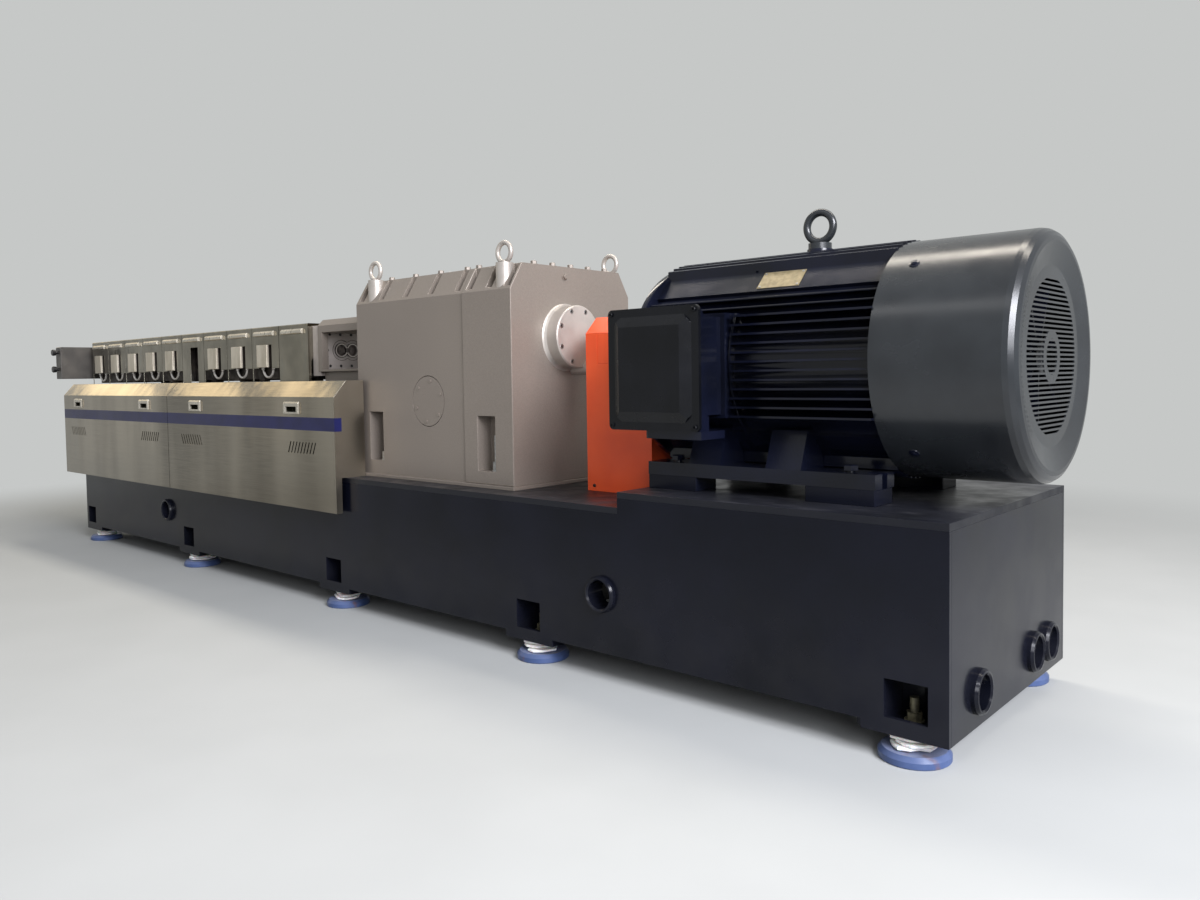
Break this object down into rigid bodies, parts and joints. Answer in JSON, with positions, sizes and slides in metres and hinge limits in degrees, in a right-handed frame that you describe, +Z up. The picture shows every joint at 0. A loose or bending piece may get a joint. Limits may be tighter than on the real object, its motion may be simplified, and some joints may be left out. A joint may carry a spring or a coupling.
{
  "type": "plastic extruder",
  "caption": "Twin-screw plastic extruder: electric motor, gearbox, covered barrels and stainless side doors on a long welded base with levelling feet",
  "frame": {"origin": "bottom centre of the overall box, on the floor", "axes": "+X along the machine towards the motor end, -Y the side that faces the viewer, +Z up"},
  "size_m": [6.359, 1.059, 1.501],
  "materials": {
    "base_paint": "gloss enamel",
    "deck_paint": "gloss enamel",
    "foot_paint": "semi-gloss",
    "zinc_steel": "zinc plated",
    "foam": "matte",
    "gearbox_paint": "satin",
    "machined_steel": "fine turned",
    "dark_steel": "oiled",
    "stainless": "fine brushed",
    "cable": "matte",
    "die_paint": "satin",
    "black_plastic": "satin",
    "guard_paint": "gloss",
    "motor_paint": "gloss enamel",
    "box_paint": "semi-gloss",
    "brass": "etched, blank"
  },
  "bodies": {
    "root": {"base_side_plates": "base_paint", "base_end_plates": "base_paint", "base_cross_plates": "base_paint", "low_deck": "deck_paint", "motor_deck": "deck_paint", "foot_boxes": "base_paint", "pipe_sleeves": "base_paint", "foot_pads": "foot_paint", "foot_studs": "zinc_steel", "foam_wraps": "foam", "gearbox_base_flange": "gearbox_paint", "gearbox_housing": "gearbox_paint", "gearbox_input_section": "gearbox_paint", "lifting_bosses": "machined_steel", "gearbox_side_covers": "gearbox_paint", "thrust_bearing_cover": "machined_steel", "foundation_bolts": "zinc_steel", "lantern": "machined_steel", "lantern_support": "dark_steel", "barrel_flange": "machined_steel", "screw_shafts": "dark_steel", "barrels": "dark_steel", "barrel_stands": "dark_steel", "barrel_covers": "stainless", "cover_grips": "stainless", "cover_end_plate": "stainless", "junction_boxes": "stainless", "cable_loops": "cable", "die_head": "die_paint", "die_knobs": "black_plastic", "side_doors": "stainless", "door_handles": "stainless", "tray_ends": "stainless", "tray_tops": "stainless", "tray_rails": "stainless", "coupling_guard": "guard_paint", "coupling": "machined_steel", "motor_frame": "motor_paint", "motor_packing_blocks": "base_paint", "motor_eyebolt": "motor_paint", "terminal_box": "motor_paint", "terminal_box_lid": "box_paint", "fan_cowl": "motor_paint", "motor_nameplate": "brass", "cooling_fan": "motor_paint"}
  },
  "joints": []
}
